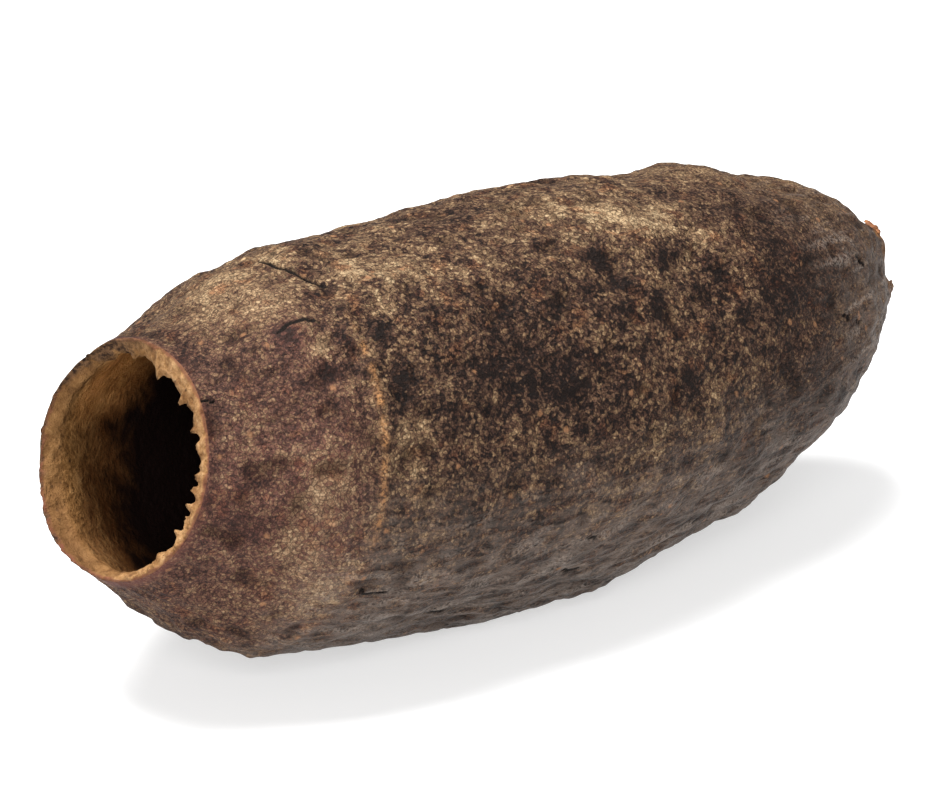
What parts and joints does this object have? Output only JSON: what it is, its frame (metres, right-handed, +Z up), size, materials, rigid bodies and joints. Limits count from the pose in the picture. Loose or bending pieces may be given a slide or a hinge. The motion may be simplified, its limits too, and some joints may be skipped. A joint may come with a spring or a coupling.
{
  "type": "jequitiba pod",
  "caption": "Dried woody jequitiba pod lying on its side: a hollow spindle-shaped shell with an open toothed mouth and a stalk scar at its closed end.",
  "frame": {"origin": "on the small flat spot that the pod rests on, under the middle of the pod's box", "axes": "+X along the pod from its open mouth towards its stalk end, +Z up as the pod lies, +Y across it"},
  "size_m": [0.0992, 0.0416, 0.0402],
  "materials": {
    "woody_shell": "dry weathered bark, dark brown with tan flecks, matt"
  },
  "bodies": {
    "root": {"pod": "woody_shell"}
  },
  "joints": []
}
